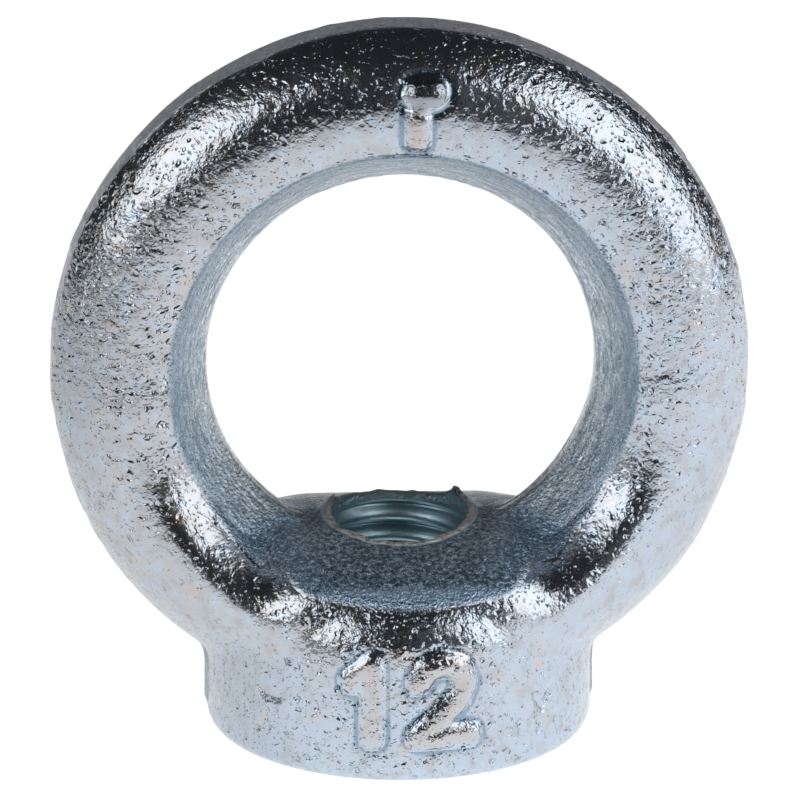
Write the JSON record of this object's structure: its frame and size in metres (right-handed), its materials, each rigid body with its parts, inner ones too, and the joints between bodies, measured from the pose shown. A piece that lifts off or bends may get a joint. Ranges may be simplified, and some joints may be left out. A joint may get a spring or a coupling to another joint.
{
  "type": "lifting eye nut",
  "caption": "Round lifting eye on a threaded collar, forged in one piece, that screws onto a stud and takes a hook, shackle or rope.",
  "frame": {"origin": "centre of the collar's flat base", "axes": "+Z along the thread, out through the eye; the eye looks along Y, and X runs across it"},
  "size_m": [0.054, 0.0296, 0.0569],
  "materials": {
    "zinc_plated_steel": "bright bluish zinc plating over the blasted skin of a drop forging, grainy outside, finer inside the eye"
  },
  "bodies": {
    "root": {"eye_nut": "zinc_plated_steel"}
  },
  "joints": []
}
